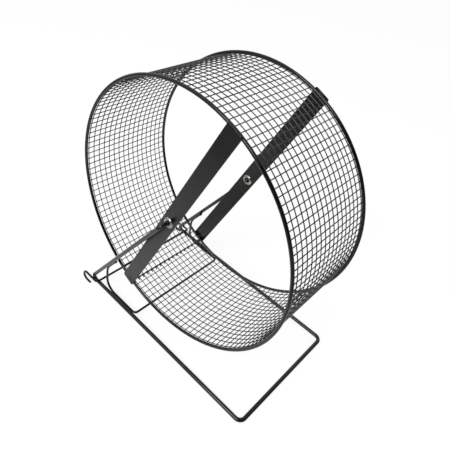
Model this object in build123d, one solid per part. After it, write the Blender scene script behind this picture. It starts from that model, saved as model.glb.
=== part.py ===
from build123d import *
import math
import os

# Hamster wheel on a bent-wire stand, in millimetres.
# X runs along the stand, Y along the axle and Z up.
# The origin is on the floor, straight below the middle of the axle.

# Wheel rings: two closed rings of round wire.
wheel_diameter = 250.0
drum_width = 104.0
ring_wire = 3.0

# Mesh drum: hoops run round the wheel, cross wires run across it. These fine wires are
# drawn with a square section, and all thicker ones with a round section.
mesh_wire = 0.8
mesh_pitch = 6.2
mesh_edge_gap = 0.1
seam_angle = 248.5
seam_overlap = 5.0

# Straps: one flat bar across each ring, carrying an eyelet at its middle.
strap_angle = 66.4
strap_width = 15.2
strap_thickness = 1.2
strap_overhang = 0.5
strap_corner_radius = 1.5
strap_edge_radius = 0.3

# Eyelets: hollow rivets that run on the pins of the stand.
running_clearance = 0.08
barrel_diameter = 6.2
barrel_clearance = 0.05
flange_diameter = 10.7
flange_height = 1.2
flange_crown = 0.35
mouth_chamfer = 0.9

# Stand: one wire, bent into a base, two uprights and two pins.
stand_wire = 4.0
axle_rise = 140.0
base_length = 225.0
base_width = 135.0
base_back = 96.0
base_bend = 6.0
corner_bend = 4.0
pin_bend = 4.5
upright_gap = 8.0
pin_overrun = 1.5
wire_end_chamfer_share = 0.1

# Brace: a thinner wire inside the base, welded to both uprights.
brace_wire = 2.4
brace_bar_back = 25.5
brace_knee_back = 73.0
brace_reach = 61.0
brace_side_angle = 50.0
brace_upper_bend = 22.0
brace_lower_bend = 13.0
brace_bar_bend = 4.0

# Hook wire: a bar across the base that ends in two hooks.
hook_wire = 2.4
hook_bar_back = 83.0
hook_side_gap = 0.5
hook_bar_bend = 3.0
hook_reach = 23.5
hook_gap = 8.6
hook_tip_length = 11.5
hook_bend_share = 0.49

# Places that follow from the sizes above, measured from the middle of the axle.
ring_radius = (wheel_diameter - ring_wire) / 2
ring_bore_radius = ring_radius - ring_wire / 2
ring_offset = (drum_width - ring_wire) / 2
strap_inner = drum_width / 2
strap_outer = strap_inner + strap_thickness

cross_wire_count = round(2 * math.pi * ring_bore_radius / mesh_pitch)
cross_wire_top = math.sqrt(ring_bore_radius**2 - (mesh_wire / 2) ** 2)
hoop_outer_radius = ring_bore_radius + mesh_wire
edge_hoop_offset = ring_offset - ring_wire / 2 - mesh_edge_gap - mesh_wire / 2
hoop_count = round(2 * edge_hoop_offset / mesh_pitch) + 1
hoop_pitch = 2 * edge_hoop_offset / (hoop_count - 1)

base_front = (base_width - stand_wire) / 2
base_end = base_length - stand_wire - base_back
upright_top = strap_outer + flange_height + upright_gap
pin_tip = strap_inner - flange_height - pin_overrun

hook_level = (stand_wire + hook_wire) / 2 - axle_rise
hook_drop = hook_gap + hook_wire
hook_side = base_front + (stand_wire + hook_wire) / 2 + hook_side_gap
hook_far = hook_bar_back + hook_reach
hook_tip = hook_far - hook_tip_length

# The hooks reach lower than the base, so on a floor the stand leans on the two hook
# tips and on the far end of the base.
tip_depth = hook_drop + hook_wire / 2 - (stand_wire + hook_wire) / 2
tip_distance = base_end + hook_tip
stand_lean = math.atan2(tip_depth, tip_distance) - math.asin(
    stand_wire / 2 / math.hypot(tip_depth, tip_distance)
)
axle_height = base_end * math.sin(stand_lean) + axle_rise * math.cos(stand_lean) + stand_wire / 2


def bent_wire(points, bends, diameter):
    """A round wire along straight runs joined by bends, with its cut ends chamfered."""
    path = FilletPolyline(*points, radius=bends)
    section = Plane(origin=path @ 0, z_dir=path % 0) * Circle(diameter / 2)
    wire = sweep(section, path=path)
    cut_ends = wire.faces().filter_by(GeomType.PLANE)
    return chamfer(cut_ends.edges(), diameter * wire_end_chamfer_share)


def mirrored_ends(half):
    """The points of one half of a wire, followed by the same points on the other side."""
    return half + [(x, -y, z) for x, y, z in reversed(half)]


def ring():
    """The front ring, standing upright about the axle."""
    return Pos(0, -ring_offset, 0) * Rot(90, 0, 0) * Torus(ring_radius, ring_wire / 2)


def hoop(offset):
    """One hoop, bent round the outside of the cross wires."""
    band = Circle(hoop_outer_radius) - Circle(ring_bore_radius)
    return Pos(0, offset, 0) * Rot(90, 0, 0) * extrude(band, mesh_wire / 2, both=True)


def cross_wires():
    """The wires across the drum, whose outer corners touch the bore of the hoops and rings."""
    length = 2 * ring_offset + mesh_wire
    wire = Pos(cross_wire_top - mesh_wire / 2, 0, 0) * Box(mesh_wire, length, mesh_wire)
    step = 360 / cross_wire_count
    return Compound([Rot(0, -seam_angle - step * index, 0) * wire for index in range(cross_wire_count)])


def mesh_seam():
    """The overlapping end of the mesh: its last cross wire and the short ends of its hoops."""
    overlap_angle = seam_angle + math.degrees(mesh_wire / hoop_outer_radius)
    place = Rot(0, -overlap_angle, 0) * Pos(hoop_outer_radius + mesh_wire / 2, 0, 0)
    pieces = [place * Box(mesh_wire, 2 * edge_hoop_offset + mesh_wire, mesh_wire)]
    for index in range(hoop_count):
        on_top = Pos(mesh_wire, index * hoop_pitch - edge_hoop_offset, 0)
        pieces.append(place * on_top * Box(mesh_wire, mesh_wire, seam_overlap))
    return Compound(pieces)


def strap():
    """The front strap: a flat bar with rounded corners and edges, and a hole for the eyelet."""
    length = wheel_diameter + 2 * strap_overhang
    outline = RectangleRounded(length, strap_width, strap_corner_radius)
    hole = Circle(barrel_diameter / 2 + barrel_clearance)
    face = Plane.XZ.offset(strap_inner) * Rot(0, 0, strap_angle) * (outline - hole)
    bar = extrude(face, strap_thickness)
    rims = [flank.outer_wire() for flank in bar.faces().filter_by(Axis.Y)]
    return fillet([edge for rim in rims for edge in rim.edges()], strap_edge_radius)


def eyelet():
    """The front eyelet, turned from one section with a domed flange on each side of the strap."""
    bore = stand_wire / 2 + running_clearance
    face = strap_thickness / 2
    crest = face + flange_height
    mouth = bore + mouth_chamfer
    rim = flange_diameter / 2
    crown = ((mouth + rim) / 2 + flange_crown, face + flange_height / 2 + flange_crown)
    outline = Polyline((bore, 0), (bore, crest - mouth_chamfer), (mouth, crest))
    outline += ThreePointArc((mouth, crest), crown, (rim, face))
    outline += Polyline((rim, face), (barrel_diameter / 2, face), (barrel_diameter / 2, 0), (bore, 0))
    half = make_face(outline)
    section = half + mirror(half, about=Plane.XZ)
    return Pos(0, -strap_inner - face, 0) * revolve(section, axis=Axis.Y)


def stand():
    """The stand wire: pin, upright and base corner, then the same on the other side."""
    half = [
        (0, -pin_tip, 0),
        (0, -upright_top, 0),
        (-base_back, -base_front, -axle_rise),
        (base_end, -base_front, -axle_rise),
    ]
    bends = [pin_bend, corner_bend, base_bend, base_bend, corner_bend, pin_bend]
    return bent_wire(mirrored_ends(half), bends, stand_wire)


def brace():
    """The brace wire: along an upright, down to the base, then across it and back up."""
    corner = Vector(-base_back, -base_front, -axle_rise)
    upright = (Vector(0, -upright_top, 0) - corner).normalized()
    under = Vector(0, 1, 0).cross(upright).normalized()
    inner = upright.cross(under)
    turn = math.radians(brace_side_angle)
    away = (under * math.cos(turn) + inner * math.sin(turn)) * ((stand_wire + brace_wire) / 2)
    knee_run = (base_back - brace_knee_back - away.X) / upright.X
    cut_end = corner + upright * brace_reach + away
    upper_knee = corner + upright * knee_run + away
    arm = base_front - (stand_wire + brace_wire) / 2
    half = [
        tuple(cut_end),
        tuple(upper_knee),
        (upper_knee.X, -arm, -axle_rise),
        (-brace_bar_back, -arm, -axle_rise),
    ]
    bends = [brace_upper_bend, brace_lower_bend, brace_bar_bend]
    return bent_wire(mirrored_ends(half), bends + bends[::-1], brace_wire)


def hooks():
    """The hook wire: its bar lies on the base, and each end turns out, back and under."""
    half = [
        (-hook_tip, -hook_side, hook_level - hook_drop),
        (-hook_far, -hook_side, hook_level - hook_drop),
        (-hook_far, -hook_side, hook_level),
        (-hook_bar_back, -hook_side, hook_level),
    ]
    hook_bend = hook_drop * hook_bend_share
    bends = [hook_bend, hook_bend, hook_bar_bend]
    return bent_wire(mirrored_ends(half), bends + bends[::-1], hook_wire)


def sub_parts():
    """Every piece by name, placed about the middle of the axle."""
    pieces = {
        "front_ring": ring(),
        "rear_ring": mirror(ring(), about=Plane.XZ),
        "mesh_cross_wires": cross_wires(),
        "mesh_seam": mesh_seam(),
        "front_strap": strap(),
        "rear_strap": mirror(strap(), about=Plane.XZ),
        "front_eyelet": eyelet(),
        "rear_eyelet": mirror(eyelet(), about=Plane.XZ),
        "stand_wire": stand(),
        "brace_wire": brace(),
        "hook_wire": hooks(),
    }
    for index in range(hoop_count):
        pieces[f"mesh_hoop_{index + 1:02d}"] = hoop(index * hoop_pitch - edge_hoop_offset)
    return pieces


os.makedirs("parts", exist_ok=True)
on_floor = Pos(0, 0, axle_height) * Rot(0, math.degrees(stand_lean), 0)
for name, piece in sub_parts().items():
    export_step(on_floor * piece, f"parts/{name}.step")
print(f"lean {math.degrees(stand_lean):.3f} degrees, axle {axle_height:.3f} mm above the floor")
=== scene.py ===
import math

import bpy
from mathutils import Matrix, Vector


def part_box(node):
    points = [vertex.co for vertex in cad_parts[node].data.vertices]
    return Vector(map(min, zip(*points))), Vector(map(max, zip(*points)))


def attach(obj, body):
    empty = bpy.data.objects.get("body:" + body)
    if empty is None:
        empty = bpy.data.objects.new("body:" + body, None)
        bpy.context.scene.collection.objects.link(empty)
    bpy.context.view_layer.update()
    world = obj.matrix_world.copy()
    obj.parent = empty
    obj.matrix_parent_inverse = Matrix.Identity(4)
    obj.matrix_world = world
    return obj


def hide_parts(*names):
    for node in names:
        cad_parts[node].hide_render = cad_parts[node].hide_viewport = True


# Hamster wheel in a plain white studio, in metres.
# X runs along the stand, Y along the axle and Z up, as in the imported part.
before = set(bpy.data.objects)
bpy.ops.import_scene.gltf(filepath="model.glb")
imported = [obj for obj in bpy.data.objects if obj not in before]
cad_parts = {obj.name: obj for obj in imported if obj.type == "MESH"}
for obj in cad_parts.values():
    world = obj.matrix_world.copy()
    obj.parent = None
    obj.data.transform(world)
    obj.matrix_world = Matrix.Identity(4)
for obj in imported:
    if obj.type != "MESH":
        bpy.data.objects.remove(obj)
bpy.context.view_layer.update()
forward = Vector((1, 0, 0))
axle = Vector((0, 1, 0))
upward = Vector((0, 0, 1))

# Camera, at the place that the photograph was taken from, with its turns in degrees.
camera_place = (0.2112, -0.2633, 0.3964)
camera_turn = (54.0, -6.55, 43.62)
camera_lens = 36.53
camera_sensor = 36.0
camera_shift = (0.0300, -0.0722)
camera_nearest = 0.01

# Lamp: one large softbox.
key_place = (0.10, -1.2, 1.2)
key_target = (0, 0, 0.14)
key_size = (0.9, 0.5)
key_power = 16.0

# Floor: the colour of its paper, and the white glow that the camera sees in most of it.
floor_reach = 4.0
floor_paper = 0.85
floor_glow = 1.06
floor_glow_share = 0.80

# Pool of light round the wheel, which the paint mirrors in place of the floor.
pool_centre = (-0.05, -0.06, 0)
pool_inner = 0.10
pool_outer = 0.48
pool_light = 1.0
pool_edge_light = 0.35

# Room: how strong it is as a light, and how bright the paint mirrors each side of it. It
# turns from dark to bright between two slants, where -1 is straight away from the bright
# side and 1 straight towards it.
room_light = 0.72
bright_side = Vector((-1.0, 0.4, 0.0)).normalized()
bright_mirrored = 0.85
bright_start = -0.05
dark_mirrored = 0.03
dark_start = -0.40

# Round wires of the mesh drum. They are a little thicker than in the part, sink into each
# other by a share of their thickness where they are welded, and end in low domes.
coated_share = 1.08
weld_sink = 0.15
dome_share = 0.6
wire_facets = 8
hoop_steps = 192
cross_wire_runs = 6
cross_wire_trim = 0.0010
mesh_pitch = 0.0062

# How far the drawn wires wander. A ripple is made of waves, given as how many go round the
# wheel and how far each seed moves them. The rates and seeds keep the ripples apart.
ripple_waves = ((3, 1.7), (7, 2.9), (13, 4.3))
hoop_wander = 0.00010
cross_wire_wander = 0.00012
wander_rate, wander_seed = 5, 1
cross_wire_bow = 0.00008
bow_rate, bow_seed = 7, 2

# Seam of the mesh: how far its lapped wire leads and slants, and the cut ends of the hoops.
# Each end reaches at least a share of the overlap in the part, and further where it is
# frayed or spread.
seam_wire_lead = 0.0003
seam_wire_slant = 0.0003
seam_end_side = -0.0006
seam_end_wander = 0.0003
seam_end_coat = 1.6
seam_end_share = 0.55
seam_end_spread = 1.5
seam_frayed_share = 1.2
seam_end_seeds = (3, 4)
seam_side_seed = 5

# Weld beads: half their width, depth and length, and the lumps round them.
edge_weld_size = (0.00050, 0.00025, 0.0004)
strap_weld_size = (0.0005, 0.0005, 0.0035)
seam_weld_size = (0.0006, 0.0006, 0.0026)
brace_end_weld_size = (0.0016, 0.0017, 0.0027)
wire_weld_size = (0.0008, 0.0008, 0.0026)
bead_facets = 12
bead_rows = 8
lump_height = 0.12
lump_count = 3
lump_twist = 2

# Where the beads of a strap lie in its grooves, in shares of the ring's wire.
strap_weld_spread = 0.30
strap_weld_reach = 0.42

# The stand as in the part, measured from the middle of the axle with its base level.
stand_lean = math.radians(1.822)
stand_wire = 0.0040
thin_wire = 0.0024
axle_rise = 0.1400
base_back = 0.0960
base_side = 0.0655
upright_top_side = 0.0624
brace_reach = 0.0610
brace_side_angle = math.radians(50)
brace_leg_places = (-0.060, -0.034)
brace_weld_lift = thin_wire / 4
hook_bar_back = 0.0830
strap_angle = math.radians(66.4) - stand_lean

# Enamel: where its patches turn, how far its gloss varies over them, and its fine dust.
patch_start, patch_end = 0.35, 0.65
gloss_start, gloss_end = 0.30, 0.70
gloss_fall, gloss_rise = 0.06, 0.08
peel_strength = 0.4
dust_start, dust_full = 0.66, 0.80
dust_cover = 0.5
dust_tone = 0.06
dust_fineness = 3

# Nickel plate, from its dull patches to its bright ones, and its grain.
nickel_dull = (0.22, 0.215, 0.185)
nickel_bright = (0.62, 0.605, 0.55)
nickel_roughness = (0.18, 0.32)
nickel_patch_scale = 900.0
nickel_grain_scale = 4000.0
nickel_grain_height = 0.00003
nickel_grain_strength = 0.3

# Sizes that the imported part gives.
ring_low, ring_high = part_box("front_ring")
axle_height = (ring_low.z + ring_high.z) / 2
wheel_radius = (ring_high.z - ring_low.z) / 2
ring_wire = ring_high.y - ring_low.y
ring_offset = -(ring_low.y + ring_high.y) / 2
ring_radius = wheel_radius - ring_wire / 2
hoop_nodes = sorted(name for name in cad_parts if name.startswith("mesh_hoop"))
hoop_low, hoop_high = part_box(hoop_nodes[0])
mesh_wire = (hoop_high.y - hoop_low.y) * coated_share
cross_wire_count = round(2 * math.pi * (ring_radius - ring_wire / 2) / mesh_pitch)
cross_wire_radius = wheel_radius - ring_wire - mesh_wire / 2
cross_wire_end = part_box("mesh_cross_wires")[1].y - cross_wire_trim
hoop_radius = cross_wire_radius + mesh_wire * (1 - weld_sink)
seam_low, seam_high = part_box("mesh_seam")
seam_middle = (seam_low + seam_high) / 2
seam_angle = math.atan2(seam_middle.z - axle_height, seam_middle.x)


def add_object(name, data):
    """An object that shows some data, put in the scene."""
    item = bpy.data.objects.new(name, data)
    bpy.context.scene.collection.objects.link(item)
    return item


def add_mesh(name, vertices, faces, material):
    """An object made from the corners and faces of a mesh."""
    mesh = bpy.data.meshes.new(name)
    mesh.from_pydata(vertices, [], faces)
    mesh.materials.append(material)
    return add_object(name, mesh)


def add_piece(name, vertices, faces, body, material, nodes=()):
    """A smooth-shaded mesh that rides on a body and stands for some nodes of the part."""
    piece = add_mesh(name, vertices, faces, material)
    piece.data.shade_smooth()
    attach(piece, body)
    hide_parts(*nodes)


def ripple(position, seed):
    """A smooth value between -1 and 1 that is back at its start once round the wheel."""
    waves = [math.sin(count * position + shift * seed) for count, shift in ripple_waves]
    return sum(waves) / len(waves)


def on_wheel(angle, radius, y):
    """A point by its angle and distance from the axle, and its place along it."""
    return Vector((radius * math.cos(angle), y, axle_height + radius * math.sin(angle)))


def outward(angle):
    """The direction away from the axle at an angle."""
    return Vector((math.cos(angle), 0, math.sin(angle)))


def on_stand(x, y, z):
    """A point of the stand, turned by its lean and lifted to the height of the axle."""
    return Matrix.Rotation(stand_lean, 3, "Y") @ Vector((x, y, z)) + Vector((0, 0, axle_height))


def middle_along_axle(node):
    """How far along the axle the middle of a node of the part lies."""
    low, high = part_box(node)
    return (low.y + high.y) / 2


def square_to(along, up):
    """Two directions square to a length and to each other, with the second close to up."""
    across = along.cross(up).normalized()
    return across, across.cross(along)


def round_section(centre, across, up, radius, facets):
    """The corners of a round section about a centre, in the plane of two directions."""
    corners = []
    for corner in range(facets):
        turn = 2 * math.pi * corner / facets
        side, rise = radius * math.cos(turn), radius * math.sin(turn)
        corners.append(centre + across * side + up * rise)
    return corners


def add_skin(vertices, faces, sections, closed=False):
    """Adds quads that join one section to the next, and caps at open ends."""
    start, facets, count = len(vertices), len(sections[0]), len(sections)
    for row in range(count if closed else count - 1):
        low = start + row * facets
        high = start + (row + 1) % count * facets
        for corner in range(facets):
            after = (corner + 1) % facets
            faces.append((low + corner, low + after, high + after, high + corner))
    if not closed:
        last = start + (count - 1) * facets
        faces.append(tuple(range(start + facets - 1, start - 1, -1)))
        faces.append(tuple(range(last, last + facets)))
    vertices += [corner for section in sections for corner in section]


def add_rod(vertices, faces, points, radius, up):
    """Adds a round wire along some points, with a dome at each end."""
    first, last = points[0], points[-1]
    along = (last - first).normalized()
    across, up = square_to(along, up)
    tip = radius * dome_share
    rows = [(first, tip), (first + along * tip, radius)]
    rows += [(point, radius) for point in points[1:-1]]
    rows += [(last - along * tip, radius), (last, tip)]
    sections = [round_section(at, across, up, size, wire_facets) for at, size in rows]
    add_skin(vertices, faces, sections)


def add_bead(vertices, faces, centre, along, up, size):
    """Adds a slightly lumpy weld bead, with half-widths across, up and along."""
    half_width, half_depth, half_length = size
    along = along.normalized()
    across, up = square_to(along, up)
    sections = []
    for row in range(bead_rows):
        tilt = math.pi * (row + 0.5) / bead_rows
        middle = centre + along * (half_length * math.cos(tilt))
        section = []
        for corner in range(bead_facets):
            turn = 2 * math.pi * corner / bead_facets
            lump = lump_height * math.sin(lump_count * turn + lump_twist * row)
            reach = math.sin(tilt) * (1 + lump)
            side, rise = half_width * reach * math.cos(turn), half_depth * reach * math.sin(turn)
            section.append(middle + across * side + up * rise)
        sections.append(section)
    add_skin(vertices, faces, sections)


def hoop(index, node, material):
    """One round hoop, which wanders a little from its plane as drawn wire does."""
    middle = middle_along_axle(node)
    sections = []
    for step in range(hoop_steps):
        angle = 2 * math.pi * step / hoop_steps
        centre = on_wheel(angle, hoop_radius, middle + hoop_wander * ripple(angle, index))
        sections.append(round_section(centre, outward(angle), axle, mesh_wire / 2, wire_facets))
    vertices, faces = [], []
    add_skin(vertices, faces, sections, closed=True)
    add_piece(f"hoop_{index + 1:02d}", vertices, faces, "wheel", material, [node])


def cross_wire_angles():
    """The angle of each cross wire, from the one that the seam lies on."""
    first = seam_angle - mesh_wire / cross_wire_radius
    angles = []
    for wire in range(cross_wire_count):
        angle = first + 2 * math.pi * wire / cross_wire_count
        wander = cross_wire_wander / cross_wire_radius * ripple(angle * wander_rate, wander_seed)
        angles.append(angle + wander)
    return angles


def cross_wires(material):
    """The round wires across the drum, each bowed a little between the rings."""
    vertices, faces = [], []
    for angle in cross_wire_angles():
        points = []
        for run in range(cross_wire_runs + 1):
            share = run / cross_wire_runs
            y = cross_wire_end * (2 * share - 1)
            bow = cross_wire_bow * math.sin(math.pi * share) * ripple(angle * bow_rate, bow_seed)
            points.append(on_wheel(angle + bow / cross_wire_radius, cross_wire_radius, y))
        add_rod(vertices, faces, points, mesh_wire / 2, outward(angle))
    nodes = ["mesh_cross_wires"]
    add_piece("cross_wires", vertices, faces, "wheel", material, nodes)


def seam(material):
    """The overlap where the mesh closes: a second cross wire and the cut ends of the hoops."""
    vertices, faces = [], []
    up = outward(seam_angle)
    radius = hoop_radius + mesh_wire
    lead = seam_angle - seam_wire_lead / radius
    near = lead - seam_wire_slant / radius
    far = lead + seam_wire_slant / radius
    ends = [on_wheel(near, radius, seam_low.y), on_wheel(far, radius, seam_high.y)]
    add_rod(vertices, faces, ends, mesh_wire / 2, up)
    half_overlap = (seam_high.x - seam_low.x) / 2 / abs(math.sin(seam_angle)) / wheel_radius
    on_top = radius + mesh_wire * (1 - weld_sink)
    for index, node in enumerate(hoop_nodes):
        middle = middle_along_axle(node)
        add_bead(vertices, faces, on_wheel(lead, radius, middle), axle, up, seam_weld_size)
        y = middle + seam_end_side + seam_end_wander * ripple(index, seam_side_seed)
        frayed = 1 - index / (len(hoop_nodes) * seam_frayed_share)
        spread = [seam_end_spread * ripple(index, seed) for seed in seam_end_seeds]
        before, after = [half_overlap * max(seam_end_share, frayed, share) for share in spread]
        ends = [on_wheel(seam_angle - before, on_top, y), on_wheel(seam_angle + after, on_top, y)]
        add_rod(vertices, faces, ends, mesh_wire / 2 * seam_end_coat, up)
    add_piece("mesh_overlap", vertices, faces, "wheel", material, ["mesh_seam"])


def edge_welds(name, side, material):
    """The welds that hold the cross wires to one ring."""
    vertices, faces = [], []
    for angle in cross_wire_angles():
        centre = on_wheel(angle, cross_wire_radius + mesh_wire / 2, side * cross_wire_end)
        add_bead(vertices, faces, centre, axle, outward(angle), edge_weld_size)
    add_piece(name, vertices, faces, "wheel", material)


def strap_welds(material):
    """Beads in the two grooves where each end of a strap lies on its ring."""
    vertices, faces = [], []
    for side in (-1, 1):
        y = side * (ring_offset + ring_wire * strap_weld_reach)
        for angle in (strap_angle, strap_angle + math.pi):
            along = Vector((-math.sin(angle), 0, math.cos(angle)))
            for step in (-1, 1):
                centre = on_wheel(angle, ring_radius + step * ring_wire * strap_weld_spread, y)
                add_bead(vertices, faces, centre, along, outward(angle), strap_weld_size)
    add_piece("strap_welds", vertices, faces, "wheel", material)


def stand_welds(material):
    """The welds of the brace to the uprights and base, and of the hook wire to the base."""
    vertices, faces = [], []
    for side in (-1, 1):
        corner = Vector((-base_back, side * base_side, -axle_rise))
        upright = (Vector((0, side * upright_top_side, 0)) - corner).normalized()
        under = axle.cross(upright).normalized()
        inner = upright.cross(under) * -side
        away = under * math.cos(brace_side_angle) + inner * math.sin(brace_side_angle)
        end = corner + upright * brace_reach + away * (stand_wire + thin_wire) / 2
        add_bead(vertices, faces, on_stand(*end), upright, away, brace_end_weld_size)
        inside = side * (base_side - stand_wire / 2)
        places = [on_stand(x, inside, -axle_rise + brace_weld_lift) for x in brace_leg_places]
        places.append(on_stand(-hook_bar_back, side * base_side, -axle_rise + stand_wire / 2))
        for place in places:
            add_bead(vertices, faces, place, forward, upward, wire_weld_size)
    add_piece("stand_welds", vertices, faces, "stand", material)


def node_maker(owner):
    """A function that makes shader nodes, and sets or links their inputs by name."""
    owner.use_nodes = True
    nodes, links = owner.node_tree.nodes, owner.node_tree.links
    nodes.clear()

    def make(kind, inputs=(), **settings):
        node = nodes.new(kind)
        for key, value in settings.items():
            setattr(node, key, value)
        for socket, value in dict(inputs).items():
            if isinstance(value, bpy.types.NodeSocket):
                links.new(value, node.inputs[socket])
            else:
                node.inputs[socket].default_value = value
        return node

    return make


def noise(make, scale, detail):
    """A pattern from 0 to 1 that is fixed to the object."""
    place = make("ShaderNodeTexCoord").outputs["Object"]
    pattern = make("ShaderNodeTexNoise", {"Vector": place, "Scale": scale, "Detail": detail})
    return pattern.outputs["Fac"]


def ramp(make, factor, low, high):
    """A colour that runs from low to high over the patches."""
    node = make("ShaderNodeValToRGB", {"Fac": factor})
    first, last = node.color_ramp.elements
    first.position, last.position = patch_start, patch_end
    first.color, last.color = (*low, 1), (*high, 1)
    return node.outputs["Color"]


def span(make, value, start, end, low, high, kind="LINEAR"):
    """A value that runs from low to high as another goes from start to end."""
    ends = {"From Min": start, "From Max": end, "To Min": low, "To Max": high}
    node = make("ShaderNodeMapRange", {"Value": value, **ends}, interpolation_type=kind)
    return node.outputs["Result"]


def bumps(make, height, strength, distance):
    """The direction that a surface faces, once fine bumps are on it."""
    inputs = {"Height": height, "Strength": strength, "Distance": distance}
    return make("ShaderNodeBump", inputs).outputs["Normal"]


def coat(make, inputs):
    """Ends a material in a coat of paint or plate."""
    shader = make("ShaderNodeBsdfPrincipled", inputs)
    make("ShaderNodeOutputMaterial", {"Surface": shader.outputs["BSDF"]})


def enamel(name, tones, roughness, shine,
           patch_scale=60.0, peel_scale=1500.0, peel_height=0.000004):
    """Black stove enamel: faint patches in its tone and gloss, fine dust and an orange peel."""
    material = bpy.data.materials.new(name)
    make = node_maker(material)
    patches = noise(make, patch_scale, 5.0)
    peel = noise(make, peel_scale, 2.0)
    dust = noise(make, peel_scale / dust_fineness, 8.0)
    darkest, lightest = [(tone, tone, tone) for tone in tones]
    colour = make("ShaderNodeMix", {
        "Factor": span(make, dust, dust_start, dust_full, 0.0, dust_cover),
        "A": ramp(make, patches, darkest, lightest),
        "B": (dust_tone, dust_tone, dust_tone, 1),
    }, data_type="RGBA")
    low, high = roughness - gloss_fall, roughness + gloss_rise
    coat(make, {
        "Base Color": colour.outputs["Result"],
        "Roughness": span(make, patches, gloss_start, gloss_end, low, high),
        "Normal": bumps(make, peel, peel_strength, peel_height),
        "Specular IOR Level": shine,
    })
    return material


def nickel_plate(name):
    """Bright nickel with a fine grain and a few duller patches."""
    material = bpy.data.materials.new(name)
    make = node_maker(material)
    patches = noise(make, nickel_patch_scale, 6.0)
    grain = noise(make, nickel_grain_scale, 3.0)
    coat(make, {
        "Base Color": ramp(make, patches, nickel_dull, nickel_bright),
        "Roughness": span(make, patches, patch_start, patch_end, *nickel_roughness),
        "Normal": bumps(make, grain, nickel_grain_strength, nickel_grain_height),
        "Metallic": 1.0,
    })
    return material


def ray_kinds(make):
    """Whether a ray comes from the camera, and whether it comes off gloss or through glass."""
    path = make("ShaderNodeLightPath").outputs
    either = {0: path["Is Glossy Ray"], 1: path["Is Transmission Ray"]}
    mirrored = make("ShaderNodeMath", either, operation="MAXIMUM")
    return path["Is Camera Ray"], mirrored.outputs[0]


def glow(make, strength):
    """White light of some strength."""
    node = make("ShaderNodeEmission", {"Color": (1, 1, 1, 1), "Strength": strength})
    return node.outputs["Emission"]


def blend(make, share, first, second):
    """A share of the second shader over the first."""
    return make("ShaderNodeMixShader", {0: share, 1: first, 2: second}).outputs["Shader"]


def floor():
    """A floor that looks white and keeps a faint shadow, and is mirrored as a pool of light."""
    material = bpy.data.materials.new("floor")
    make = node_maker(material)
    from_camera, mirrored = ray_kinds(make)
    grey = (floor_paper, floor_paper, floor_paper, 1)
    paper = make("ShaderNodeBsdfDiffuse", {"Color": grey}).outputs["BSDF"]
    seen = make("ShaderNodeMath", {0: from_camera, 1: floor_glow_share}, operation="MULTIPLY")
    plain = blend(make, seen.outputs[0], paper, glow(make, floor_glow))
    place = make("ShaderNodeTexCoord").outputs["Object"]
    away = make("ShaderNodeVectorMath", {0: place, 1: pool_centre}, operation="DISTANCE")
    light = span(make, away.outputs["Value"], pool_inner, pool_outer,
                 pool_light, pool_edge_light, kind="SMOOTHSTEP")
    shown = blend(make, mirrored, plain, glow(make, light))
    make("ShaderNodeOutputMaterial", {"Surface": shown})
    signs = ((-1, -1), (1, -1), (1, 1), (-1, 1))
    corners = [(x * floor_reach, y * floor_reach, 0) for x, y in signs]
    ground = add_mesh("floor", corners, [(0, 1, 2, 3)], material)


def room():
    """White to the camera and softer as a light. The paint mirrors it bright on one side only."""
    world = bpy.data.worlds.new("studio")
    bpy.context.scene.world = world
    make = node_maker(world)
    from_camera, mirrored = ray_kinds(make)
    direction = make("ShaderNodeTexCoord").outputs["Generated"]
    side = make("ShaderNodeVectorMath", {0: direction, 1: bright_side}, operation="DOT_PRODUCT")
    seen = span(make, side.outputs["Value"], dark_start, bright_start,
                dark_mirrored, bright_mirrored, kind="SMOOTHSTEP")
    soft = span(make, mirrored, 0.0, 1.0, room_light, seen)
    strength = make("ShaderNodeMath", {0: soft, 1: from_camera}, operation="MAXIMUM")
    inputs = {"Color": (1, 1, 1, 1), "Strength": strength.outputs[0]}
    light = make("ShaderNodeBackground", inputs)
    make("ShaderNodeOutputWorld", {"Surface": light.outputs["Background"]})


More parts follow.
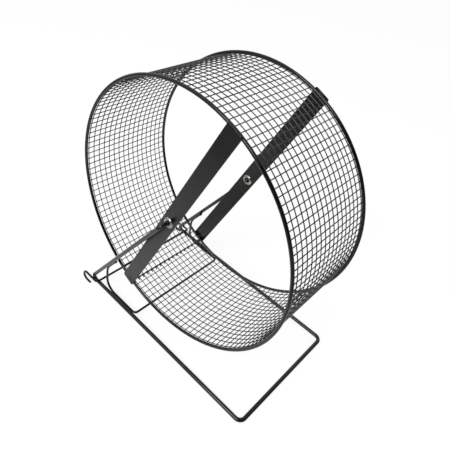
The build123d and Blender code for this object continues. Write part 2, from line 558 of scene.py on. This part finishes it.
def softbox(name, place, target, size, power):
    """A lamp with an even face, turned towards a target."""
    light = bpy.data.lights.new(name, "AREA")
    light.shape = "RECTANGLE"
    light.size, light.size_y = size
    light.energy = power
    lamp = add_object(name, light)
    lamp.location = place
    lamp.rotation_euler = (Vector(target) - Vector(place)).to_track_quat("-Z", "Y").to_euler()


def camera():
    """The camera of the photograph."""
    lens = bpy.data.cameras.new("camera")
    lens.lens = camera_lens
    lens.sensor_width = camera_sensor
    lens.shift_x, lens.shift_y = camera_shift
    lens.clip_start = camera_nearest
    view = add_object("camera", lens)
    view.location = camera_place
    view.rotation_euler = [math.radians(turn) for turn in camera_turn]
    bpy.context.scene.camera = view


def dress(names, material):
    """Gives CAD nodes that stay in view a material."""
    for name in names:
        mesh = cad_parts[name].data
        mesh.materials.clear()
        mesh.materials.append(material)


bpy.context.scene.view_settings.view_transform = "Standard"
camera()
room()
floor()
softbox("key", key_place, key_target, key_size, key_power)

black_wire = enamel("black_wire", (0.002, 0.005), roughness=0.13, shine=0.50)
black_ring = enamel("black_ring", (0.002, 0.004), roughness=0.13, shine=0.42)
black_thin_wire = enamel("black_thin_wire", (0.002, 0.004), roughness=0.16, shine=0.26)
black_mesh = enamel("black_mesh", (0.002, 0.004), roughness=0.24, shine=0.75,
                    patch_scale=90.0, peel_scale=2500.0, peel_height=0.000003)
black_bar = enamel("black_bar", (0.002, 0.005), roughness=0.26, shine=0.35,
                   patch_scale=40.0, peel_scale=1200.0)
black_weld = enamel("black_weld", (0.001, 0.003), roughness=0.45, shine=0.10,
                    patch_scale=200.0, peel_scale=900.0, peel_height=0.00002)
nickel = nickel_plate("nickel")

dress(["front_ring", "rear_ring"], black_ring)
dress(["stand_wire"], black_wire)
dress(["brace_wire", "hook_wire"], black_thin_wire)
dress(["front_strap", "rear_strap"], black_bar)
dress(["front_eyelet", "rear_eyelet"], nickel)
for index, node in enumerate(hoop_nodes):
    hoop(index, node, black_mesh)
cross_wires(black_mesh)
seam(black_mesh)
edge_welds("front_edge_welds", -1, black_ring)
edge_welds("rear_edge_welds", 1, black_ring)
strap_welds(black_ring)
stand_welds(black_weld)
